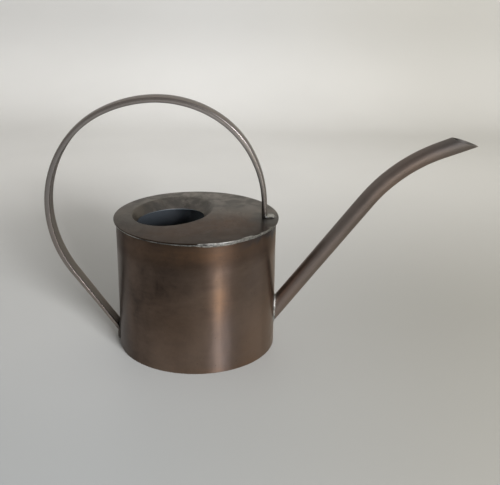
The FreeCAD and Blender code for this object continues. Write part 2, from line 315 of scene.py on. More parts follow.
def build_cover():
    NK = 300
    ks = [2 * math.pi * i / NK for i in range(NK)]
    po = [oval_point(OPEN_OUT, k) for k in ks]
    pi = [oval_point(OPEN_IN, k) for k in ks]
    # where the ray from the oval's centre meets the disc's edge
    c0 = np.array([OPEN_OUT["cx"], OPEN_OUT["cy"]])
    pe = []
    for k in ks:
        d = np.array([math.cos(k), math.sin(k)])
        b = c0 @ d
        t = -b + math.sqrt(b * b - (c0 @ c0 - R_COVER ** 2))
        pe.append(c0 + d * t)
    rings = []

    def add(fn):
        rings.append(np.array([fn(i) for i in range(NK)]))

    def lip_at(i, share, deep, off_n=0.0):
        """Upper surface of the lip; off_n is not used."""
        a, b = po[i], pi[i]
        p = a + (b - a) * share
        z = H - DEPTH * deep
        z += -0.22 * (1 - share) ** 2
        return p, z

    def lip_surface(i, f):
        s = [q[0] for q in LIP]
        d = [q[1] for q in LIP]
        return lip_at(i, f, float(np.interp(f, s, d)))

    def lip_normal(i, f):
        f0, f1 = max(0.0, f - 0.03), min(1.0, f + 0.03)
        (p0, z0), (p1, z1) = lip_surface(i, f0), lip_surface(i, f1)
        inw = pi[i] - po[i]
        L = np.linalg.norm(inw)
        inw = inw / L
        ds, dz = np.linalg.norm(p1 - p0), z1 - z0
        q = math.hypot(ds, dz)
        # normal of the upper face: up and towards the opening's middle
        return np.array([inw[0] * (-dz) / q, inw[1] * (-dz) / q, ds / q])

    NF = 22
    fs = [smooth(i / NF) * 0.35 + 0.65 * i / NF for i in range(NF + 1)]
    # upper surface, from the lip's lower edge out to the disc's edge
    for f in reversed(fs):
        add(lambda i, f=f: np.append(*[lip_surface(i, f)[0], lip_surface(i, f)[1] + 0.04 * pn(po[i][0], po[i][1], f * 8, 6, 14)]))
    NR = 30
    for j in range(1, NR + 1):
        t = (j / NR) ** 1.15
        def flat(i, t=t):
            end = pe[i] * (1 - 0.3 / R_COVER)
            p = po[i] + (end - po[i]) * t
            gap = np.linalg.norm(p - po[i])
            return np.array([p[0], p[1], H + cover_sag(p[0], p[1], gap)])
        add(flat)
    # rolled edge of the disc, slightly uneven as snips leave it
    for d in (60, 30, 0, -30, -60):
        def edge(i, d=d):
            u = pe[i] / R_COVER
            k = math.atan2(u[1], u[0])
            rr = R_COVER - 0.3 + 0.3 * math.cos(math.radians(d)) - 0.05 + 0.05 * pn(60 * u[0], 60 * u[1], 0, 9, 15)
            zz = H - 0.3 + 0.3 * math.sin(math.radians(d)) if d > 0 else ZT + 0.3 + 0.3 * math.sin(math.radians(d))
            return np.array([u[0] * rr, u[1] * rr, zz])
        add(edge)
    # underside
    for j in range(NR // 2, -1, -1):
        t = j / (NR // 2)
        def under(i, t=t):
            end = pe[i] * (1 - 0.6 / R_COVER)
            n = lip_normal(i, 0.0)
            a = po[i] - n[:2] * SHEET
            p = a + (end - a) * t
            gap = np.linalg.norm(p - po[i])
            return np.array([p[0], p[1], ZT + cover_sag(p[0], p[1], gap) * (1 if t < 1 else 0)])
        add(under)
    for f in fs[2:]:
        def below(i, f=f):
            p, z = lip_surface(i, f)
            n = lip_normal(i, f)
            return np.array([p[0] - n[0] * SHEET, p[1] - n[1] * SHEET, z - n[2] * SHEET])
        add(below)
    # rounded raw edge of the lip
    def raw(i):
        p, z = lip_surface(i, 1.0)
        n = lip_normal(i, 1.0)
        inw = pi[i] - po[i]
        inw = inw / np.linalg.norm(inw)
        t = np.array([inw[0] * n[2], inw[1] * n[2], -math.hypot(n[0], n[1])])
        return np.array([p[0], p[1], z]) - n * SHEET * 0.5 + t * 0.22
    add(raw)
    verts, faces = lattice(rings, True, True)
    o = mesh_object("cover_sheet", verts, faces, smooth_deg=60)
    outward(o)
    # patina
    co = verts
    warm, dark, grey, tin, inside, tone = (np.zeros(len(co)) for _ in range(6))
    for i, (x, y, z) in enumerate(co):
        r = math.hypot(x, y)
        a = math.degrees(math.atan2(x, -y))
        tone[i] = 0.98 * smooth((y + 28) / 95)
        w = 0.75 * gauss(math.hypot(x - 15, y + 25), 0, 20) + 0.5 * gauss(math.hypot(x + 22, y + 42), 0, 15) + 0.45 * gauss(math.hypot(x - 33, y + 12), 0, 11)
        d = 0.5 * gauss(math.hypot(x - 46, y + 10), 0, 5) + 0.25 * gauss(math.hypot(x - 10, y + 45), 0, 7)
        g = 0.85 * smooth((y - 2) / 26) + 0.5 * gauss(math.hypot(x + 52, y + 8), 0, 12)
        # grey pad of solder and flux round the handle's front foot
        df = math.hypot((x - 56) * 0.72, (y + 3) * 0.52)
        g = max(g, 0.9 * smooth((12 + 3 * pn(x, y, 0, 7, 21) - df) / 6))
        t = 0.42 * smooth((6.0 + 1.6 * pn(x, y, 0, 5, 22) - math.hypot((x - 57.5) * 0.85, y * 0.8)) / 2.0)
        # tinned outer edge, with a painted highlight: the tin is made brightest on the side towards the spout, where
        # the rim catches the light
        lit = 0.9 * smooth((a - 1) / 6) * (1 - 0.45 * smooth((a - 28) / 14)) * smooth((112 - a) / 50)
        t = max(t, lit * smooth((r - 64.0 + 0.5 * pn(x, y, 0, 6, 23)) / 0.7))
        t = max(t, 0.6 * smooth((a - 20) / 20) * smooth((80 - a) / 20) * smooth((r - 61.0 + 2.2 * pn(x, y, 0, 8, 24)) / 2.2))
        if z < ZT + 0.25 and r < 64.0:
            inside[i] = 1.0 if z < ZT + 0.05 and r > 0 and i >= len(co) * 0.62 else 0.0
        warm[i], dark[i], grey[i], tin[i] = w, d, g, t
    for key, v in dict(warm=warm, dark=dark, grey=grey, tin=tin, inside=inside, tone=tone).items():
        at = o.data.attributes.new(key, "FLOAT", "POINT")
        at.data.foreach_set("value", np.clip(v, 0, 1).astype(np.float32))
    return o


# ------------------------------------------------------------------ base
def build_base():
    NK, ri = 240, R_WALL - SHEET - 0.02
    prof_top = [(ri - 0.25, 1.0), (ri, 0.75), (ri, 0.25), (ri - 0.25, 0.0)]
    rings = []
    for r in [1.2, 5, 10, 16, 22, 28, 34, 40, 46, 52, 57, 60]:
        rings.append([(r * math.cos(2 * math.pi * k / NK), r * math.sin(2 * math.pi * k / NK),
                       1.0 + 0.12 * pn(r * math.cos(2 * math.pi * k / NK), r * math.sin(2 * math.pi * k / NK), 0, 22, 31) * smooth((58 - r) / 10)) for k in range(NK)])
    for r, z in prof_top:
        rings.append([(r * math.cos(2 * math.pi * k / NK), r * math.sin(2 * math.pi * k / NK), z) for k in range(NK)])
    for r in [60, 57, 52, 46, 40, 34, 28, 22, 16, 10, 5, 1.2]:
        # the underside is pushed in a little inside the ring that it stands on
        rings.append([(r * math.cos(2 * math.pi * k / NK), r * math.sin(2 * math.pi * k / NK),
                       0.30 * smooth((57 - r) / 8) + 0.08 * (1 + pn(r * math.cos(2 * math.pi * k / NK), r * math.sin(2 * math.pi * k / NK), 3, 18, 32)) * smooth((56 - r) / 10)) for k in range(NK)])
    verts, faces = lattice(rings)
    n = len(verts)
    verts = np.concatenate([verts, [[0, 0, 1.0], [0, 0, 0.38]]])
    last = (len(rings) - 1) * NK
    for k in range(NK):
        faces.append((n, (k + 1) % NK, k))
        faces.append((n + 1, last + k, last + (k + 1) % NK))
    return outward(mesh_object("base_disc", verts, faces, dict(tone=np.full(len(verts), 0.5)), smooth_deg=50))


# ------------------------------------------------------------------ spout
SP_L0 = (SP_BEND_Z - SP_P0[2]) / SP_D[2]
SP_A0 = math.atan2(SP_D[2], SP_D[0])
SP_ARC = (SP_A0 - SP_A1) * SP_BEND_R


def spout_path(s):
    """Point and direction on the axis, s mm from SP_P0."""
    b = SP_P0 + SP_D * SP_L0
    if s <= SP_L0:
        return SP_P0 + SP_D * s, SP_D
    c = b + np.array([SP_D[2], 0, -SP_D[0]]) * SP_BEND_R
    a = SP_A0 - (s - SP_L0) / SP_BEND_R
    if a >= SP_A1:
        return c + np.array([-math.sin(a), 0, math.cos(a)]) * SP_BEND_R, np.array([math.cos(a), 0, math.sin(a)])
    u = c + np.array([-math.sin(SP_A1), 0, math.cos(SP_A1)]) * SP_BEND_R
    d = np.array([math.cos(SP_A1), 0, math.sin(SP_A1)])
    return u + d * (s - SP_L0 - SP_ARC), d


def spout_point(s, k, r):
    p, d = spout_path(s)
    n = np.array([-d[2], 0, d[0]])
    return p + n * (r * math.cos(k)) + np.array([0, 1, 0]) * (r * math.sin(k))


def spout_outer_r(s, k):
    """A trace wider at the foot and towards the tip, pressed a little flat in the bend."""
    r = SP_R - 0.08 + 0.10 * smooth((30 - s) / 40) + 0.10 * smooth((s - 175) / 20)
    bend = smooth((s - SP_L0 + 10) / 25) * smooth((SP_L0 + SP_ARC + 10 - s) / 25)
    r += bend * (-0.10 * math.cos(2 * k))
    return r + 0.035 * pn(s, r * math.cos(k), r * math.sin(k), 16, 41) + 0.012 * pn(s, r * math.cos(k), r * math.sin(k), 5, 42)


def find_s(test, lo, hi):
    """The s between lo and hi where test changes from false to true."""
    for _ in range(40):
        m = (lo + hi) / 2
        if test(m):
            hi = m
        else:
            lo = m
    return (lo + hi) / 2


def build_spout():
    NK = 72
    tx, tz = CUT_TOP
    lx, lz = CUT_LOW
    cn = np.array([-(lz - tz), 0, (lx - tx)])
    cn = cn / np.linalg.norm(cn)

    def past_cut(q):
        return (q - np.array([tx, 0, tz])) @ cn > 0 and q[0] > 180

    ks = [2 * math.pi * i / NK for i in range(NK)]

    def ends(k, shrink):
        r = lambda s: spout_outer_r(s, k) - shrink
        s0 = find_s(lambda s: math.hypot(*spout_point(s, k, r(s))[:2]) > 60.8, -30, 10)
        s1 = find_s(lambda s: past_cut(spout_point(s, k, r(s))), 150, 240)
        return s0, s1

    NS = 190
    outer_e = [ends(k, 0) for k in ks]
    inner_e = [ends(k, SP_T) for k in ks]
    rings = []

    def along(e, t):
        s0, s1 = e
        return s0 + (s1 - s0) * t

    ts = [i / NS for i in range(NS + 1)]
    for t in ts:
        rings.append([spout_point(along(outer_e[i], t), k, spout_outer_r(along(outer_e[i], t), k)) for i, k in enumerate(ks)])
    # rounded lip at the tip
    def lip(mix, push):
        out = []
        for i, k in enumerate(ks):
            a = spout_point(outer_e[i][1], k, spout_outer_r(outer_e[i][1], k))
            b = spout_point(inner_e[i][1], k, spout_outer_r(inner_e[i][1], k) - SP_T)
            out.append(a * (1 - mix) + b * mix + cn * push)
        return out
    tip_outer = rings.pop()
    rings.append([p - cn * 0.0 - spout_path(190)[1] * 0.12 for p in tip_outer])
    rings.append(lip(0.12, -0.05))
    rings.append(lip(0.5, 0.0))
    rings.append(lip(0.88, -0.05))
    for t in reversed(ts[:-1]):
        rings.append([spout_point(along(inner_e[i], t), k, spout_outer_r(along(inner_e[i], t), k) - SP_T) for i, k in enumerate(ks)])
    verts, faces = lattice(rings, True, True)
    o = mesh_object("spout_pipe", verts, faces, smooth_deg=50)
    outward(o)
    # unbent coordinates, so that the patina follows the tube
    n = len(verts)
    tone = np.full(n, 0.5)
    st = np.zeros(n); cu = np.zeros(n); cv = np.zeros(n); ins = np.zeros(n); tin = np.zeros(n); warm = np.zeros(n); dark = np.zeros(n); grey = np.zeros(n)
    for i, p in enumerate(verts):
        j, kk = divmod(i, NK)
        outer = j <= NS
        t = (ts[j] if outer else (1.0 if j <= NS + 3 else ts[max(0, NS - 1 - (j - NS - 4))]))
        s = along(outer_e[kk], t)
        k = ks[kk]
        st[i] = s * MM
        cu[i], cv[i] = SP_R * math.cos(k) * MM, SP_R * math.sin(k) * MM
        ins[i] = 0.0 if outer else (0.3 if j <= NS + 3 else 1.0)
        # k = 0 is the upper side, k = 270 degrees faces the -Y side
        low = 0.5 - 0.5 * math.cos(k)
        # painted light: the lower side is made warmer as a painted reflection of the lit floor, and the upper side
        # darker as painted shade, over patina that varies along the tube
        warm[i] = 0.55 * low * (0.6 + 0.6 * pn(s, 0, 0, 26, 43)) + 0.35 * gauss(s, 10, 16) * low + 0.3 * gauss(s, 160, 18)
        dark[i] = 0.40 * (1 - low) ** 2 * smooth((s - 30) / 60)
        tone[i] = 0.5 + 0.30 * (1 - smooth((s - 40) / 70)) * (1 - 0.5 * low)
        grey[i] = 0.95 * gauss(s, 196, 20) * (1 - 0.45 * low) + 0.25 * gauss(s, 60, 22)
        foot = s - outer_e[kk][0] - 2.6
        tin[i] = 0.85 * smooth((3.1 + 1.5 * pn(s, 9 * math.cos(k), 9 * math.sin(k), 4, 44) - foot) / 1.8)
    for key, v in dict(run_s=st, run_u=cu, run_v=cv).items():
        at = o.data.attributes.new(key, "FLOAT", "POINT")
        at.data.foreach_set("value", v.astype(np.float32))
    for key, v in dict(inside=ins, warm=warm, dark=dark, grey=grey, tin=tin, tone=tone).items():
        at = o.data.attributes.new(key, "FLOAT", "POINT")
        at.data.foreach_set("value", np.clip(v, 0, 1).astype(np.float32))
    return o


def build_spout_solder():
    """A fillet round the joint of tube and wall."""
    NK = 120
    rings = []
    NB = 9
    cols = []
    for i in range(NK):
        k = 2 * math.pi * i / NK
        w = 1.75 + 0.45 * pn(8 * math.cos(k), 8 * math.sin(k), 0, 5, 51) + 0.25 * pn(8 * math.cos(k), 8 * math.sin(k), 5, 2.4, 52)
        h = 1.9 + 0.5 * pn(8 * math.cos(k), 8 * math.sin(k), 9, 5, 53)
        wall = lambda r, off: find_s(lambda s: math.hypot(*spout_point(s, k, r)[:2]) > R_WALL + off, -30, 14)
        r0 = spout_outer_r(-10, k)
        a = spout_point(wall(r0 + w, 0.03), k, r0 + w)
        corner = spout_point(wall(r0, 0.0), k, r0)
        b = spout_point(wall(r0, 0.0) + h, k, spout_outer_r(wall(r0, 0.0) + h, k) + 0.03)
        ctrl = corner + ((a + b) / 2 - corner) * 0.42
        col = []
        for j in range(NB + 1):
            t = j / NB
            p = a * (1 - t) ** 2 + ctrl * 2 * t * (1 - t) + b * t * t
            out = (a + b) / 2 - corner
            out = out / (np.linalg.norm(out) + 1e-9)
            p = p + out * 0.10 * math.sin(math.pi * t) * pn(p[0], p[1], p[2], 1.8, 54)
            col.append(p)
        # closed behind, just inside wall and tube
        radial = corner - spout_path(wall(r0, 0.0))[0]
        radial = radial / np.linalg.norm(radial)
        wn = np.array([corner[0], corner[1], 0.0]) / math.hypot(corner[0], corner[1])
        col.append(b - radial * 0.15)
        col.append(corner - wn * 0.12 - radial * 0.12)
        col.append(a - wn * 0.15)
        cols.append(col)
    n = len(cols[0])
    rings = [[cols[i][j] for i in range(NK)] for j in range(n)]
    verts, faces = lattice(rings, True, True)
    return outward(mesh_object("spout_joint_fillet", verts, faces, smooth_deg=50))


# ------------------------------------------------------------------ handle
def handle_point(s):
    x, z = H_START
    th = math.radians(H_DEG)
    if s < 0:
        return x + s * math.cos(th), z + s * math.sin(th), th
    for r, length in ARCS:
        step = min(s, length)
        if r:
            t2 = th + step / r
            x += r * (math.sin(t2) - math.sin(th))
            z += r * (math.cos(th) - math.cos(t2))
            th = t2
        else:
            x += step * math.cos(th)
            z += step * math.sin(th)
        s -= step
        if s <= 1e-9:
            break
    return x, z, th


def handle_stations():
    """Stations from the front toe to the lower end of the rear foot: outer point, inner point (X, Z), width, flatness 0 to 1."""
    st = []

    def across(s, d):
        x, z, th = handle_point(s)
        o = np.array([math.sin(th), -math.cos(th)])
        c = np.array([x, z])
        return c + o * d / 2, c - o * d / 2

    # thin toe on the cover, then the sheet turns up into the leg
    ox, ix = 55.75, 51.45
    top, low = H + 1.05, H + 0.03
    for i in range(12):
        t = i / 12
        x = 61.2 + (57.1 - 61.2) * t
        w = FOOT_W * (0.82 + 0.18 * math.sqrt(max(0.0, 1 - (1 - min(1, t * 2.6)) ** 2)))
        st.append((np.array([x, low + (top - low) * (0.78 + 0.22 * min(1, t * 4))]), np.array([x, low]), w, 1.0))
    for i in range(9):
        t = i / 8
        a = math.radians(-90 - 90 * t)
        o = np.array([57.1 + (57.1 - ox) * math.cos(a), top + (57.1 - ox) * (1 + math.sin(a))])
        st.append((o, np.array([57.1 + (ix - 57.1) * t, low]), FOOT_W, 1 - 0.75 * t))
    o1, i1 = across(6.5, FOOT_D)
    o0, i0 = st[-1][0], st[-1][1]
    for i in range(1, 9):
        t = i / 9
        st.append((o0 + (o1 - o0) * t, i0 + (i1 - i0) * t, FOOT_W, 0.25 * (1 - t)))
    s_end = 370.0
    for i in range(300 + 1):
        s = 6.5 + (s_end - 6.5) * i / 300
        w = FOOT_W + (H_W - FOOT_W) * smooth((s - 4) / 66.0) + 0.35 * smooth((s - 270) / 60.0)
        d = FOOT_D + (H_D - FOOT_D) * smooth((s - 20) / 50.0) + (H_D_REAR - H_D) * smooth((s - 300) / 77.0)
        o, q = across(s, d)
        st.append((o, q, w, 0.0))
    # mitred against the wall, then flattened downwards
    x, z, th = handle_point(s_end)
    e = np.array([math.cos(th), math.sin(th)])
    o0, i0, w1 = st[-1][0], st[-1][1], st[-1][2]
    xo, xi = -R_WALL - 2.1, -R_WALL - 0.03
    mo = o0 + e * ((xo - o0[0]) / e[0]) - np.array([0.0, 0.0])
    mi = i0 + e * ((xi - i0[0]) / e[0])
    for i in range(1, 15):
        t = i / 14
        st.append((o0 + (mo - o0) * t, i0 + (mi - i0) * t, w1, 0.0))
    zt_ = mo[1] - 1.6
    for i in range(1, 7):
        t = i / 6
        # the outer corner is eased
        st.append((np.array([xo + 0.12 * math.sin(math.pi * t), mo[1] + (zt_ - mo[1]) * t]), np.array([xi, mi[1] + (zt_ - mi[1]) * t]), w1, smooth(t)))
    for i in range(1, 13):
        t = i / 12
        zz = zt_ + (1.1 - zt_) * t
        thin = 0.0 if t < 0.9 else 0.25
        st.append((np.array([xo + thin, zz]), np.array([xi, zz]), w1 * (1.0 if t < 0.9 else 0.97), 1.0))
    return st


def section(w, d, flat):
    """Closed outline (across, outward) of the flattened tube: outer face a little arched, inner face a little hollow."""
    h = w / 2
    ro, ri = min(1.45, 0.40 * d), min(0.85, 0.36 * d)
    arch = 0.28 * (1 - flat) + 0.02
    dip = 0.30 * (1 - flat)
    t, b = d / 2 - arch, -d / 2
    pts = []
    for i in range(4):                                    # side wall, left
        pts.append((-h - 0.10 * (1 - flat) * math.sin(math.pi * i / 4), b + ri + (t - ro - b - ri) * i / 4))
    for i in range(7):                                    # left shoulder
        a = math.radians(180 - 90 * i / 6)
        pts.append((-h + ro + ro * math.cos(a), t - ro + ro * math.sin(a)))
    for i in range(1, 10):                                # arch
        u = (-h + ro) * (1 - 2 * i / 10)
        pts.append((u, t + arch * (1 - (u / (h - ro)) ** 2)))
    for i in range(7):                                    # right shoulder
        a = math.radians(90 - 90 * i / 6)
        pts.append((h - ro + ro * math.cos(a), t - ro + ro * math.sin(a)))
    for i in range(1, 5):                                 # side wall, right
        pts.append((h + 0.10 * (1 - flat) * math.sin(math.pi * i / 4), t - ro + (b + ri - t + ro) * i / 4))
    for i in range(1, 7):                                 # right inner edge
        a = math.radians(-90 * i / 6)
        pts.append((h - ri + ri * math.cos(a), b + ri + ri * math.sin(a)))
    for i in range(1, 12):                                # hollow of the inner face
        u = (h - ri) * (1 - 2 * i / 12)
        pts.append((u, b + dip * (1 - (u / (h - ri)) ** 2)))
    for i in range(6):                                    # left inner edge
        a = math.radians(-90 - 90 * i / 6)
        pts.append((-h + ri + ri * math.cos(a), b + ri + ri * math.sin(a)))
    return pts


def build_handle():
    st = handle_stations()
    rings = []
    run = [0.0]
    for i in range(1, len(st)):
        c0, c1 = (st[i - 1][0] + st[i - 1][1]) / 2, (st[i][0] + st[i][1]) / 2
        run.append(run[-1] + float(np.linalg.norm(c1 - c0)))
    for i, (po, pi, w, flat) in enumerate(st):
        c = (po + pi) / 2
        d = float(np.linalg.norm(po - pi))
        o2 = (po - pi) / d
        o = np.array([o2[0], 0, o2[1]])
        q = run[i]
        ends = smooth((q - 12) / 30) * smooth((run[-1] - 22 - q) / 30)
        w = w * (1 + 0.008 * pn(q, 0, 0, 21, 61) * ends)
        d = d * (1 + 0.010 * pn(q, 5, 0, 26, 62) * ends)
        side = 0.22 * pn(q, 0, 7, 60, 63) * ends
        rings.append([np.array([c[0], side + u, c[1]]) + o * (v + 0.015 * pn(q, u, v, 14, 64) * ends) for u, v in section(w, d, flat)])
    verts, faces = lattice(rings)
    n = len(rings[0])
    last = len(verts) - n
    faces.append(tuple(range(n)))
    faces.append(tuple(last + j for j in reversed(range(n))))
    o = mesh_object("handle_band", verts, faces, smooth_deg=48)
    outward(o)
    bm = bmesh.new()
    bm.from_mesh(o.data)
    bmesh.ops.triangulate(bm, faces=[f for f in bm.faces if len(f.verts) > 4])
    bm.to_mesh(o.data)
    bm.free()
    N = len(verts)
    keys = ("inside", "tin", "grey", "warm", "dark", "tone")
    val = {k: np.zeros(N) for k in keys + ("run_s", "run_u", "run_v")}
    total = run[-1]
    for i in range(N):
        j, k = divmod(i, n)
        po, pi, w, flat = st[j]
        d = float(np.linalg.norm(po - pi))
        u, v = section(w, d, flat)[k]
        q = run[j]
        val["run_s"][i], val["run_u"][i], val["run_v"][i] = q * MM, u * MM, v * MM
        inner = 1.0 if 38 <= k <= 48 else (0.6 if k in (37, 49) else 0.0)
        val["inside"][i] = inner * smooth((q - 14) / 6)
        val["warm"][i] = 0.45 * smooth((q / total - 0.62) / 0.25) * (1 - inner) + 0.15 * gauss(q, 160, 40)
        val["grey"][i] = 0.35 + 0.4 * pn(q, 3, 0, 34, 65)
        val["dark"][i] = 0.95 * smooth((q - total + 16) / 6)
        # painted highlight: the strap is made lighter about 92 mm along, where its upper bend catches the window
        val["tone"][i] = 0.5 + 0.12 * gauss(q, 250, 60) + 0.34 * gauss(q, 92, 26) - 0.12 * gauss(q, 20, 18)
        toe = smooth((9.6 + 1.2 * pn(q, u, v, 3, 66) - q) / 1.6)
        val["tin"][i] = max(toe, 0.5 * smooth((q - total + 2.6 + 1.0 * pn(u, 0, 1, 3, 67)) / 1.2))
    for k in ("run_s", "run_u", "run_v"):
        at = o.data.attributes.new(k, "FLOAT", "POINT")
        at.data.foreach_set("value", val[k].astype(np.float32))
    for k in keys:
        at = o.data.attributes.new(k, "FLOAT", "POINT")
        at.data.foreach_set("value", np.clip(val[k], 0, 1).astype(np.float32))
    return o


# ------------------------------------------------------------------ solder
def build_front_solder():
    """A low mound round the toe of the handle."""
    NK, NR = 96, 14
    rings = []
    for j in range(NR + 1):
        t = j / NR
        ring = []
        for i in range(NK):
            k = 2 * math.pi * i / NK
            a, b = 5.9, 6.0
            edge = 1 + 0.09 * pn(6 * math.cos(k), 6 * math.sin(k), 0, 4, 71) + 0.05 * pn(6 * math.cos(k), 6 * math.sin(k), 2, 1.8, 72)
            r = t * edge
            x, y = 57.4 + a * r * math.cos(k), b * r * math.sin(k)
            rr = math.hypot(x, y)
            if rr > R_COVER - 0.4:
                x, y = x * (R_COVER - 0.4) / rr, y * (R_COVER - 0.4) / rr
            h = 0.62 * (1 - t ** 2.0) ** 1.5 + 0.10 * (1 - t) * pn(x, y, 0, 2.2, 73)
            ring.append((x, y, H + 0.02 + h if j < NR else H - 0.10))
        rings.append(ring)
    rings = rings[1:]
    verts, faces = lattice(rings)
    top = len(verts)
    verts = np.concatenate([verts, [[57.4, 0, H + 0.62], [57.4, 0, H - 0.1]]])
    last = (len(rings) - 1) * NK
    for i in range(NK):
        faces.append((top, (i + 1) % NK, i))
        faces.append((top + 1, last + i, last + (i + 1) % NK))
    return outward(mesh_object("front_foot_mound", verts, faces, smooth_deg=60))


def build_rear_solder():
    """Solder that wets the wall along both edges and above the rear foot."""
    rings = []
    NZ, NU = 40, 26
    for j in range(NZ + 1):
        z = 1.5 + 14.6 * j / NZ
        ring = []
        half = 7.7 + 0.35 * pn(0, 0, z, 4, 81)
        if j < 4:
            half -= 1.0 * (1 - j / 4) ** 2
        if j > NZ - 5:
            half -= 1.6 * ((j - NZ + 5) / 5) ** 2
        for i in range(NU + 1):
            y = -half + 2 * half * i / NU
            e = abs(y) - 6.15
            if e < 0:
                t = 1.15
            else:
                t = 1.15 * max(0.0, 1 - e / (half - 6.15)) ** 1.6
            t = t * (0.92 + 0.10 * pn(y, z, 0, 2.2, 82)) * smooth((NZ - j) / 4 + 0.2) + 0.03
            r = R_WALL + t
            a = y / R_WALL
            ring.append((-r * math.cos(a), r * math.sin(a), z))
        for i in range(NU, -1, -1):
            y = -half + 2 * half * i / NU
            a = y / R_WALL
            r = R_WALL - 0.12
            ring.append((-r * math.cos(a), r * math.sin(a), z))
        rings.append(ring)
    verts, faces = lattice(rings)
    n = len(rings[0])
    last = len(verts) - n
    m = (n // 2)
    for i in range(m - 1):
        faces.append((i, n - 1 - i, n - 2 - i, i + 1))
        faces.append((last + i, last + i + 1, last + n - 2 - i, last + n - 1 - i))
    return outward(mesh_object("rear_foot_pad", verts, faces, smooth_deg=60))


def build_rim_solder():
    """Uneven bead in the corner below the flange."""
    NK = 360
    cols = []
    for i in range(NK):
        k = 2 * math.pi * i / NK
        c, s = math.cos(k), math.sin(k)
        a = math.degrees(math.atan2(c, -s))
        lit = 0.05 + 0.95 * smooth((a - 2) / 8) * (1 - 0.70 * smooth((a - 26) / 14)) * smooth((122 - a) / 30)
        size = (0.34 + 0.86 * lit) * (1 + 0.22 * pn(60 * c, 60 * s, 0, 11, 91) + 0.08 * pn(60 * c, 60 * s, 4, 4.5, 92))
        out = min(1.45, 1.0 * size)
        col = []
        z0 = ZT - SHEET
        for j in range(8):
            t = j / 7
            # from the flange's underside down to the wall, hollow
            ax, az = R_WALL + out, z0 - 0.02
            bx, bz = R_WALL + 0.03, z0 - 1.55 * size
            mx, mz = R_WALL + out * (0.30 + 0.45 * lit), z0 - 1.55 * size * (0.30 + 0.45 * lit)
            px = ax * (1 - t) ** 2 + mx * 2 * t * (1 - t) + bx * t * t
            pz = az * (1 - t) ** 2 + mz * 2 * t * (1 - t) + bz * t * t
            col.append((px * c, px * s, pz + 0.05 * pn(60 * c, 60 * s, t * 4, 2.0, 93)))
        col.append(((R_WALL - 0.12) * c, (R_WALL - 0.12) * s, z0 - 1.5 * size))
        col.append(((R_WALL - 0.12) * c, (R_WALL - 0.12) * s, z0 + 0.10))
        col.append(((R_WALL + out) * c, (R_WALL + out) * s, z0 + 0.10))
        cols.append(col)
    n = len(cols[0])
    rings = [[cols[i][j] for i in range(NK)] for j in range(n)]
    verts, faces = lattice(rings, True, True)
    return outward(mesh_object("rim_bead", verts, faces, smooth_deg=60))


def build_seam_solder():
    """Fill of the butted seam, a hair proud outside and a flat bead inside."""
    NZ = 150
    rings = []
    for j in range(NZ + 1):
        z = 3.0 + (ZT - SHEET - 1.6 - 3.0) * j / NZ
        po = 0.07 + 0.05 * pn(0, 0, z, 5, 95)
        wo = 0.75 + 0.30 * pn(3, 0, z, 6, 96)
        wi = 1.5 + 0.3 * pn(6, 0, z, 7, 97)
        ti = 0.4 + 0.08 * pn(9, 0, z, 5, 98)
        ro, ri = R_WALL, R_WALL - SHEET
        d = wall_dent(179.9, z)
        pts = [(ro - 0.02, -wo), (ro + po * 0.7, -wo * 0.6), (ro + po, 0), (ro + po * 0.7, wo * 0.6), (ro - 0.02, wo),
               (ro - 0.1, 0.13), (ri + 0.1, 0.13), (ri + 0.02, wi), (ri - ti * 0.7, wi * 0.62), (ri - ti, 0), (ri - ti * 0.7, -wi * 0.62), (ri + 0.02, -wi), (ri + 0.1, -0.13), (ro - 0.1, -0.13)]
        ring = []
        for r, y in pts:
            a = y / R_WALL
            rr = r + d
            ring.append((-rr * math.cos(a), rr * math.sin(a), z))
        rings.append(ring)
    verts, faces = lattice(rings)
    n = len(rings[0])
    last = len(verts) - n
    faces.append(tuple(range(n)))
    faces.append(tuple(last + i for i in reversed(range(n))))
    o = mesh_object("wall_seam_line", verts, faces, smooth_deg=50)
    bm = bmesh.new()
    bm.from_mesh(o.data)
    bmesh.ops.triangulate(bm, faces=[f for f in bm.faces if len(f.verts) > 4])
    bm.to_mesh(o.data)
    bm.free()
    return outward(o)


def build_base_solder():
    NK = 300
    ri = R_WALL - SHEET
    cols = []
    for i in range(NK):
        k = 2 * math.pi * i / NK
        c, s = math.cos(k), math.sin(k)
        size = 1.55 * (1 + 0.22 * pn(60 * c, 60 * s, 0, 8, 101) + 0.12 * pn(60 * c, 60 * s, 4, 3, 102))
        col = []
        for j in range(7):
            t = j / 6
            ax, az = ri - size, 1.03
            bx, bz = ri - 0.02, 1.0 + size
            mx, mz = ri - size * 0.28, 1.0 + size * 0.28
            px = ax * (1 - t) ** 2 + mx * 2 * t * (1 - t) + bx * t * t
            pz = az * (1 - t) ** 2 + mz * 2 * t * (1 - t) + bz * t * t
            col.append((px * c, px * s, pz))
        col.append(((ri + 0.1) * c, (ri + 0.1) * s, 1.0 + size))
        col.append(((ri + 0.1) * c, (ri + 0.1) * s, 0.9))
        col.append(((ri - size) * c, (ri - size) * s, 0.9))
        cols.append(col)
    n = len(cols[0])
    rings = [[cols[i][j] for i in range(NK)] for j in range(n)]
    verts, faces = lattice(rings, True, True)
    return outward(mesh_object("base_fillet", verts, faces, smooth_deg=60))


# ------------------------------------------------------------------ materials
def srgb(r, g, b):
    def f(c):
        c = c / 255.0
        return c / 12.92 if c <= 0.04045 else ((c + 0.055) / 1.055) ** 2.4
    return (f(r), f(g), f(b), 1.0)


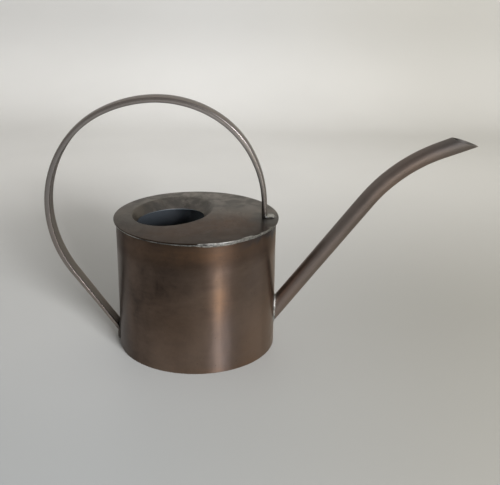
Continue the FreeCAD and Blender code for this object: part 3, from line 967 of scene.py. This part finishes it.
class Mat:
    """A small helper that wires a node material."""

    def __init__(self, name):
        self.m = bpy.data.materials.new(name)
        self.m.use_nodes = True
        self.t = self.m.node_tree
        self.t.nodes.clear()
        self.out = self.t.nodes.new("ShaderNodeOutputMaterial")
        self.p = self.t.nodes.new("ShaderNodeBsdfPrincipled")
        self.t.links.new(self.p.outputs[0], self.out.inputs[0])

    def n(self, kind, **kw):
        node = self.t.nodes.new(kind)
        for k, v in kw.items():
            setattr(node, k, v)
        return node

    def link(self, a, b):
        self.t.links.new(a, b)

    def coords(self, scale=(1, 1, 1), attr=False):
        """Object coordinates in metres, or the unbent run_s, run_u, run_v of a strap or tube."""
        if attr:
            c = self.n("ShaderNodeCombineXYZ")
            for i, k in enumerate(("run_s", "run_u", "run_v")):
                a = self.n("ShaderNodeAttribute", attribute_name=k)
                self.link(a.outputs["Fac"], c.inputs[i])
            src = c.outputs[0]
        else:
            src = self.n("ShaderNodeTexCoord").outputs["Object"]
        m = self.n("ShaderNodeMapping")
        m.inputs["Scale"].default_value = scale
        self.link(src, m.inputs["Vector"])
        return m.outputs[0]

    def noise(self, vec, scale, detail=3.0, rough=0.55, dist=0.0):
        n = self.n("ShaderNodeTexNoise")
        n.inputs["Scale"].default_value = scale
        n.inputs["Detail"].default_value = detail
        n.inputs["Roughness"].default_value = rough
        n.inputs["Distortion"].default_value = dist
        self.link(vec, n.inputs["Vector"])
        return n.outputs["Fac"]

    def span(self, src, lo, hi, a=0.0, b=1.0, smooth_=True):
        n = self.n("ShaderNodeMapRange")
        n.interpolation_type = "SMOOTHSTEP" if smooth_ else "LINEAR"
        n.inputs["From Min"].default_value = lo
        n.inputs["From Max"].default_value = hi
        n.inputs["To Min"].default_value = a
        n.inputs["To Max"].default_value = b
        self.link(src, n.inputs["Value"])
        return n.outputs[0]

    def math(self, op, a, b=None, clamp=False):
        n = self.n("ShaderNodeMath", operation=op, use_clamp=clamp)
        for i, v in enumerate((a, b)):
            if v is None:
                continue
            if isinstance(v, (int, float)):
                n.inputs[i].default_value = v
            else:
                self.link(v, n.inputs[i])
        return n.outputs[0]

    def mix(self, fac, a, b, mode="MIX"):
        n = self.n("ShaderNodeMix", data_type="RGBA", blend_type=mode)
        n.clamp_factor = True
        if isinstance(fac, (int, float)):
            n.inputs[0].default_value = fac
        else:
            self.link(fac, n.inputs[0])
        for i, v in ((6, a), (7, b)):
            if isinstance(v, tuple):
                n.inputs[i].default_value = v
            else:
                self.link(v, n.inputs[i])
        return n.outputs[2]

    def attr(self, key):
        return self.n("ShaderNodeAttribute", attribute_name=key).outputs["Fac"]

    def bump(self, height, strength, distance, prev=None):
        n = self.n("ShaderNodeBump")
        n.inputs["Strength"].default_value = strength
        n.inputs["Distance"].default_value = distance
        self.link(height, n.inputs["Height"])
        if prev is not None:
            self.link(prev, n.inputs["Normal"])
        return n.outputs[0]


def copper(name, dark, light, warm, grey, inside, rough, brushed="round", aniso=0.0, tangent=None, unbent=False, speck=1.0, contrast=1.0, inside_metal=1.0, edge=1.0, rub=1.0, stains=0.0):
    """Aged copper: brown oxide over metal, warmer where it is thin, greyer where handled or fluxed, silvery where
    tinned. Some masks also carry painted light: a glint tint and a reflection band on the wall, a highlight on the
    strap, warmth below and shade above on the spout, and shade inside the can.
    """
    M = Mat(name)
    v = M.coords(attr=unbent)
    if brushed == "round":
        vs = M.coords((1.0, 1.0, 5.0), attr=unbent)        # streaks round the can
        vf = M.coords((1.0, 1.0, 26.0), attr=unbent)
    elif brushed == "along":
        vs = M.coords((0.16, 1.0, 1.0), attr=unbent)       # streaks along the tube or strap
        vf = M.coords((0.04, 1.0, 1.0), attr=unbent)
    else:
        vs = M.coords((1.0, 0.45, 1.0), attr=unbent)
        vf = M.coords((1.0, 0.25, 1.0), attr=unbent)
    big = M.noise(v, 26, 4.0, 0.6, 0.8)
    med = M.noise(v, 85, 4.0, 0.6, 0.4)
    fine = M.noise(v, 520, 3.0, 0.6)
    stre = M.noise(vs, 60, 4.0, 0.62, 0.2)
    hair = M.noise(vf, 240, 3.0, 0.7)
    blend = M.math("ADD", M.math("MULTIPLY", big, 0.46), M.math("ADD", M.math("MULTIPLY", med, 0.40), M.math("MULTIPLY", stre, 0.14)))
    blend = M.math("MULTIPLY", M.math("SUBTRACT", blend, 0.5), 2.0 * contrast)
    tone = M.math("ADD", M.attr("tone"), blend, clamp=True)
    base = M.mix(tone, dark, light)
    wf = M.math("MULTIPLY", M.attr("warm"), M.span(M.math("ADD", M.math("MULTIPLY", stre, 0.45), M.math("MULTIPLY", med, 0.55)), 0.30, 0.62, 0.45, 1.1), clamp=True)
    base = M.mix(wf, base, warm)
    gf = M.math("MULTIPLY", M.attr("grey"), M.span(med, 0.30, 0.62, 0.6, 1.05), clamp=True)
    base = M.mix(gf, base, grey)
    df = M.math("MULTIPLY", M.attr("dark"), M.span(med, 0.3, 0.62, 0.65, 1.0), clamp=True)
    base = M.mix(df, base, dark)
    # small dark specks and fine pale scratches
    specks = M.math("MULTIPLY", M.span(fine, 0.66, 0.76), 0.45 * speck)
    base = M.mix(specks, base, srgb(46, 36, 32))
    lines = M.math("MULTIPLY", M.span(hair, 0.60, 0.74), 0.10)
    base = M.mix(lines, base, warm)
    if stains:
        # dried drops leave thin dark outlines
        ring = M.math("ABSOLUTE", M.math("SUBTRACT", M.noise(v, 34, 3.0, 0.55, 0.8), 0.55))
        ring = M.span(ring, 0.0, 0.022, stains, 0.0)
        base = M.mix(M.math("MULTIPLY", ring, M.span(big, 0.38, 0.55)), base, srgb(40, 34, 31))
        ring2 = M.span(M.math("ABSOLUTE", M.math("SUBTRACT", M.noise(v, 34, 3.0, 0.55, 0.8), 0.58)), 0.0, 0.02, 0.3 * stains, 0.0)
        base = M.mix(ring2, base, srgb(150, 138, 128))
    base = M.mix(M.math("MULTIPLY", M.attr("inside"), 0.92), base, inside)
    # painted shade inside the can, from the deep mask
    base = M.mix(M.math("MULTIPLY", M.attr("deep"), 0.96), base, srgb(30, 33, 37))
    # tin
    tf = M.math("ADD", M.attr("tin"), M.math("MULTIPLY", M.math("SUBTRACT", med, 0.5), 0.55))
    tf = M.span(tf, 0.34, 0.66)
    tinc = M.mix(M.span(fine, 0.35, 0.65), srgb(146, 146, 143), srgb(206, 205, 200))
    tinc = M.mix(M.span(med, 0.50, 0.68), tinc, srgb(92, 90, 87))
    base = M.mix(tf, base, tinc)
    M.link(base, M.p.inputs["Base Color"])
    metal = M.math("SUBTRACT", 1.0, M.math("MULTIPLY", M.attr("inside"), 1.0 - inside_metal))
    M.link(metal, M.p.inputs["Metallic"])
    r = M.math("ADD", M.span(med, 0.3, 0.7, rough - 0.05 * rub, rough + 0.07 * rub, False), M.math("MULTIPLY", M.math("SUBTRACT", hair, 0.5), 0.10 * rub))
    r = M.math("ADD", r, M.math("MULTIPLY", M.attr("inside"), 0.16))
    r = M.math("ADD", r, M.math("MULTIPLY", M.attr("dull"), 0.30))
    r = M.math("ADD", r, M.math("MULTIPLY", gf, 0.05), clamp=True)
    M.link(r, M.p.inputs["Roughness"])
    M.p.inputs["Specular Tint"].default_value = (edge, edge * 0.985, edge * 0.965, 1.0)
    if aniso:
        M.p.inputs["Anisotropic"].default_value = aniso
        M.p.inputs["Anisotropic Rotation"].default_value = 0.25
        if tangent:
            t = M.n("ShaderNodeTangent", direction_type="RADIAL", axis=tangent)
            M.link(t.outputs[0], M.p.inputs["Tangent"])
    b = M.bump(med, 0.10 * rub, 0.0006)
    b = M.bump(stre, 0.06 * rub, 0.0004, b)
    b = M.bump(hair, 0.05 * rub, 0.00008, b)
    b = M.bump(fine, 0.10 * rub, 0.00010, b)
    M.link(b, M.p.inputs["Normal"])
    return M.m


def solder(name, tones=(srgb(150, 150, 147), srgb(236, 234, 228))):
    M = Mat(name)
    v = M.coords()
    a = M.noise(v, 160, 4.0, 0.6, 0.5)
    f = M.noise(v, 700, 3.0, 0.6)
    c = M.mix(M.span(a, 0.35, 0.65), *tones)
    c = M.mix(M.span(f, 0.62, 0.74, 0, 0.6), c, srgb(70, 66, 62))
    M.link(c, M.p.inputs["Base Color"])
    M.p.inputs["Metallic"].default_value = 1.0
    M.link(M.span(a, 0.3, 0.7, 0.22, 0.46, False), M.p.inputs["Roughness"])
    b = M.bump(a, 0.35, 0.0006)
    b = M.bump(f, 0.3, 0.00015, b)
    M.link(b, M.p.inputs["Normal"])
    return M.m


def paper(name):
    """The pale surface that the can stands on, its colour graded as painted shade: darker in front and towards the
    right, palest on the floor far behind, a little greyer up the sweep, and warmer on the right.
    """
    M = Mat(name)
    v = M.coords()
    a = M.noise(v, 3.0, 3.0, 0.5)
    f = M.noise(v, 900, 2.0, 0.5)
    sep = M.n("ShaderNodeSeparateXYZ")
    M.link(M.n("ShaderNodeTexCoord").outputs["Object"], sep.inputs[0])
    near = M.span(sep.outputs["Y"], -0.24, 0.06)
    deep = M.span(sep.outputs["Y"], 0.02, 0.58)
    far = M.span(sep.outputs["Z"], 0.0, 0.17)
    # painted shade on the floor and sweep, graded by position as the room's light falls
    c = M.mix(near, (0.335, 0.343, 0.34, 1), (0.48, 0.48, 0.466, 1))
    c = M.mix(M.math("MULTIPLY", M.span(sep.outputs["X"], -0.10, 0.26), 0.80), c, (0.22, 0.215, 0.20, 1))
    c = M.mix(deep, c, (0.92, 0.905, 0.865, 1))
    c = M.mix(far, c, (0.62, 0.61, 0.583, 1))
    c = M.mix(M.math("MULTIPLY", M.span(sep.outputs["X"], -0.10, 0.45), 0.42), c, (0.46, 0.43, 0.345, 1))
    c = M.mix(M.math("MULTIPLY", M.span(a, 0.3, 0.7), 0.10), c, (0.40, 0.39, 0.36, 1))
    M.link(c, M.p.inputs["Base Color"])
    M.link(M.span(a, 0.3, 0.7, 0.42, 0.50, False), M.p.inputs["Roughness"])
    M.p.inputs["Specular IOR Level"].default_value = 0.35
    M.link(M.bump(f, 0.05, 0.0001), M.p.inputs["Normal"])
    return M.m


wall_mat = copper("aged_copper_wall", srgb(58, 49, 45), srgb(146, 126, 112), srgb(146, 116, 92), srgb(108, 104, 105), srgb(205, 216, 226), 0.36, "round", 0.97, "Z", contrast=0.7, inside_metal=0.05, edge=0.92)
cover_mat = copper("aged_copper_cover", srgb(48, 40, 34), srgb(184, 175, 165), srgb(92, 71, 57), srgb(96, 94, 91), srgb(150, 162, 172), 0.34, "flat", contrast=0.5, inside_metal=0.1, edge=0.78, stains=0.22)
spout_mat = copper("aged_copper_spout", srgb(104, 97, 92), srgb(158, 146, 139), srgb(158, 134, 120), srgb(122, 119, 116), srgb(150, 146, 140), 0.42, "along", unbent=True, contrast=0.7, edge=0.85)
handle_mat = copper("handled_copper_strap", srgb(92, 86, 83), srgb(180, 172, 167), srgb(168, 148, 135), srgb(150, 145, 141), srgb(128, 122, 117), 0.23, "along", unbent=True, speck=0.15, contrast=0.40, edge=0.55, rub=0.12)
base_mat = copper("aged_copper_base", srgb(66, 55, 50), srgb(130, 108, 94), srgb(158, 124, 98), srgb(110, 104, 102), srgb(150, 162, 172), 0.42, "flat")
solder_dark = solder("dull_tin_solder", (srgb(78, 76, 73), srgb(136, 134, 130)))
solder_mat = solder("dull_solder")


def finish_piece(o, mat, node):
    o.data.materials.clear()
    o.data.materials.append(mat)
    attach(o, "root")
    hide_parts(node)
    return o


wall = build_wall()
paint_wall(wall)
finish_piece(wall, wall_mat, "body_wall")
finish_piece(build_cover(), cover_mat, "top_cover")
finish_piece(build_base(), base_mat, "base_plate")
finish_piece(build_spout(), spout_mat, "spout_tube")
finish_piece(build_handle(), handle_mat, "handle_strap")
finish_piece(build_spout_solder(), solder_mat, "spout_solder")
finish_piece(build_front_solder(), solder_dark, "front_foot_solder")
finish_piece(build_rear_solder(), solder_dark, "rear_foot_solder")
finish_piece(build_rim_solder(), solder_mat, "rim_solder")
finish_piece(build_seam_solder(), solder_mat, "wall_seam_solder")
finish_piece(build_base_solder(), solder_mat, "base_solder")

# ------------------------------------------------------------------ stage: a floor that sweeps up far behind
def build_stage():
    prof = [(-4.0, 0.0), (-1.0, 0.0), (0.0, 0.0), (0.75, 0.0)]
    R = 0.55
    prof += [(0.75 + R * math.sin(math.radians(a)), R - R * math.cos(math.radians(a))) for a in range(3, 91, 3)]
    prof += [(0.75 + R, 3.2)]
    verts, faces = [], []
    for y, z in prof:
        for x in (-4.0, 4.0):
            verts.append((x, y, z))
    for i in range(len(prof) - 1):
        faces.append((2 * i, 2 * i + 1, 2 * i + 3, 2 * i + 2))
    me = bpy.data.meshes.new("pale_floor")
    me.from_pydata(verts, [], faces)
    for p in me.polygons:
        p.use_smooth = True
    o = bpy.data.objects.new("pale_floor", me)
    scene.collection.objects.link(o)
    me.materials.append(paper("pale_paper"))


build_stage()


def area(name, loc, target, sx, sy, power, colour=(1, 1, 1), spread=180):
    d = bpy.data.lights.new(name, "AREA")
    d.shape = "RECTANGLE"
    d.size, d.size_y = sx, sy
    d.energy = power
    d.color = colour
    d.spread = math.radians(spread)
    o = bpy.data.objects.new(name, d)
    o.location = loc
    o.rotation_mode = "QUATERNION"
    o.rotation_quaternion = (Vector(target) - Vector(loc)).to_track_quat("-Z", "Y")
    scene.collection.objects.link(o)
    return o


def on_round(az, dist, z):
    """A point az degrees round from the -Y side towards +X."""
    a = math.radians(az)
    return (dist * math.sin(a), -dist * math.cos(a), z)


# broad soft window, right of the camera and low; a narrow bright gap in it draws the upright glint on the wall
soft = area("window", on_round(27.5, 1.65, 0.46), (0.0, 0.0, 0.06), 0.56, 0.50, 68.0, (0.97, 0.98, 1.0))
soft.visible_glossy = False
area("window_gleam", on_round(35.5, 1.65, 0.62), (0.0, 0.0, 0.06), 0.76, 0.60, 6.4, (0.84, 0.87, 1.0))
area("window_gap", on_round(33.3, 1.60, 0.60), (0.0, 0.0, 0.06), 0.05, 0.42, 2.5, (1.0, 0.95, 0.88))

w = bpy.data.worlds.new("studio")
scene.world = w
w.use_nodes = True
nt = w.node_tree
nt.nodes.clear()
wo = nt.nodes.new("ShaderNodeOutputWorld")
bg = nt.nodes.new("ShaderNodeBackground")
tc = nt.nodes.new("ShaderNodeTexCoord")
sep = nt.nodes.new("ShaderNodeSeparateXYZ")
nt.links.new(tc.outputs["Generated"], sep.inputs[0])


def ramp(src, lo, hi, a, b):
    mr = nt.nodes.new("ShaderNodeMapRange")
    mr.interpolation_type = "SMOOTHSTEP"
    for k, v in (("From Min", lo), ("From Max", hi), ("To Min", a), ("To Max", b)):
        mr.inputs[k].default_value = v
    nt.links.new(src, mr.inputs["Value"])
    return mr.outputs[0]


def wmath(op, a, b):
    m = nt.nodes.new("ShaderNodeMath")
    m.operation = op
    for i, v in enumerate((a, b)):
        if isinstance(v, (int, float)):
            m.inputs[i].default_value = v
        else:
            nt.links.new(v, m.inputs[i])
    return m.outputs[0]


# pale towards the back, darker room in front, dimmer overhead
back = ramp(sep.outputs["Y"], -0.55, 0.85, 0.31, 1.10)
over = ramp(sep.outputs["Z"], 0.30, 0.95, 1.0, 0.76)
side = ramp(sep.outputs["X"], -1.0, 1.0, 1.0, 1.0)
strength = wmath("MULTIPLY", wmath("MULTIPLY", back, over), side)
bg.inputs["Color"].default_value = (1.0, 0.985, 0.96, 1.0)
nt.links.new(strength, bg.inputs["Strength"])
nt.links.new(bg.outputs[0], wo.inputs[0])

# ------------------------------------------------------------------ camera
cam_d = bpy.data.cameras.new("camera")
cam_d.sensor_width = 36.0
cam_d.lens = 59.476
cam = bpy.data.objects.new("camera", cam_d)
scene.collection.objects.link(cam)
pitch, roll = 0.356547, 0.0162652
fwd = Vector((0, math.cos(pitch), -math.sin(pitch)))
right = Vector((1, 0, 0))
up = right.cross(fwd)
r2 = right * math.cos(roll) + up * math.sin(roll)
u2 = up * math.cos(roll) - right * math.sin(roll)
M4 = Matrix((r2, u2, -fwd)).transposed().to_4x4()
M4.translation = Vector((0.655253, -9.513165, 4.845635)) * 65.0 * MM
cam.matrix_world = M4
cam_d.clip_start, cam_d.clip_end = 0.01, 50
scene.camera = cam
scene.view_settings.view_transform = "Standard"
scene.view_settings.look = "None"

bpy.context.view_layer.update()
